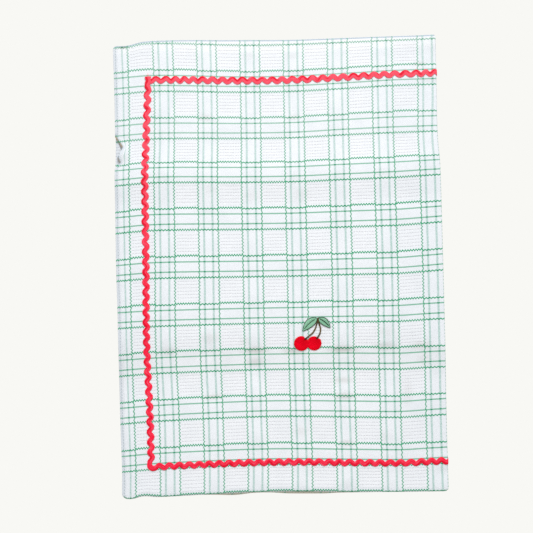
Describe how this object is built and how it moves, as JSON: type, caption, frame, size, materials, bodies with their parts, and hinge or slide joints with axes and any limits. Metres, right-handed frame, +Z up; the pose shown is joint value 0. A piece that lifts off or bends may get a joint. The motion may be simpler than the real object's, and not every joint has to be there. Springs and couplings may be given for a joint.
{
  "type": "folded tablecloth",
  "caption": "Rectangular woven cotton tablecloth folded once into two flat layers, with turned hems, a wavy trim tape sewn round it and a small stitched cherry motif.",
  "frame": {"origin": "middle of the folded cloth's outline, on the surface it lies on", "axes": "+X to the folded edge, +Y to the far hem, +Z up"},
  "size_m": [0.648, 0.909, 0.0115],
  "materials": {
    "cotton_weave": "matt",
    "trim_tape": "matt",
    "red_thread": "satin",
    "stem_thread": "satin",
    "leaf_thread": "satin"
  },
  "bodies": {
    "root": {"cloth": "cotton_weave", "rick_rack": "trim_tape", "cherry_left": "red_thread", "cherry_right": "red_thread", "stem_left": "stem_thread", "stem_right": "stem_thread", "leaf_left": "leaf_thread", "leaf_right": "leaf_thread"}
  },
  "joints": []
}
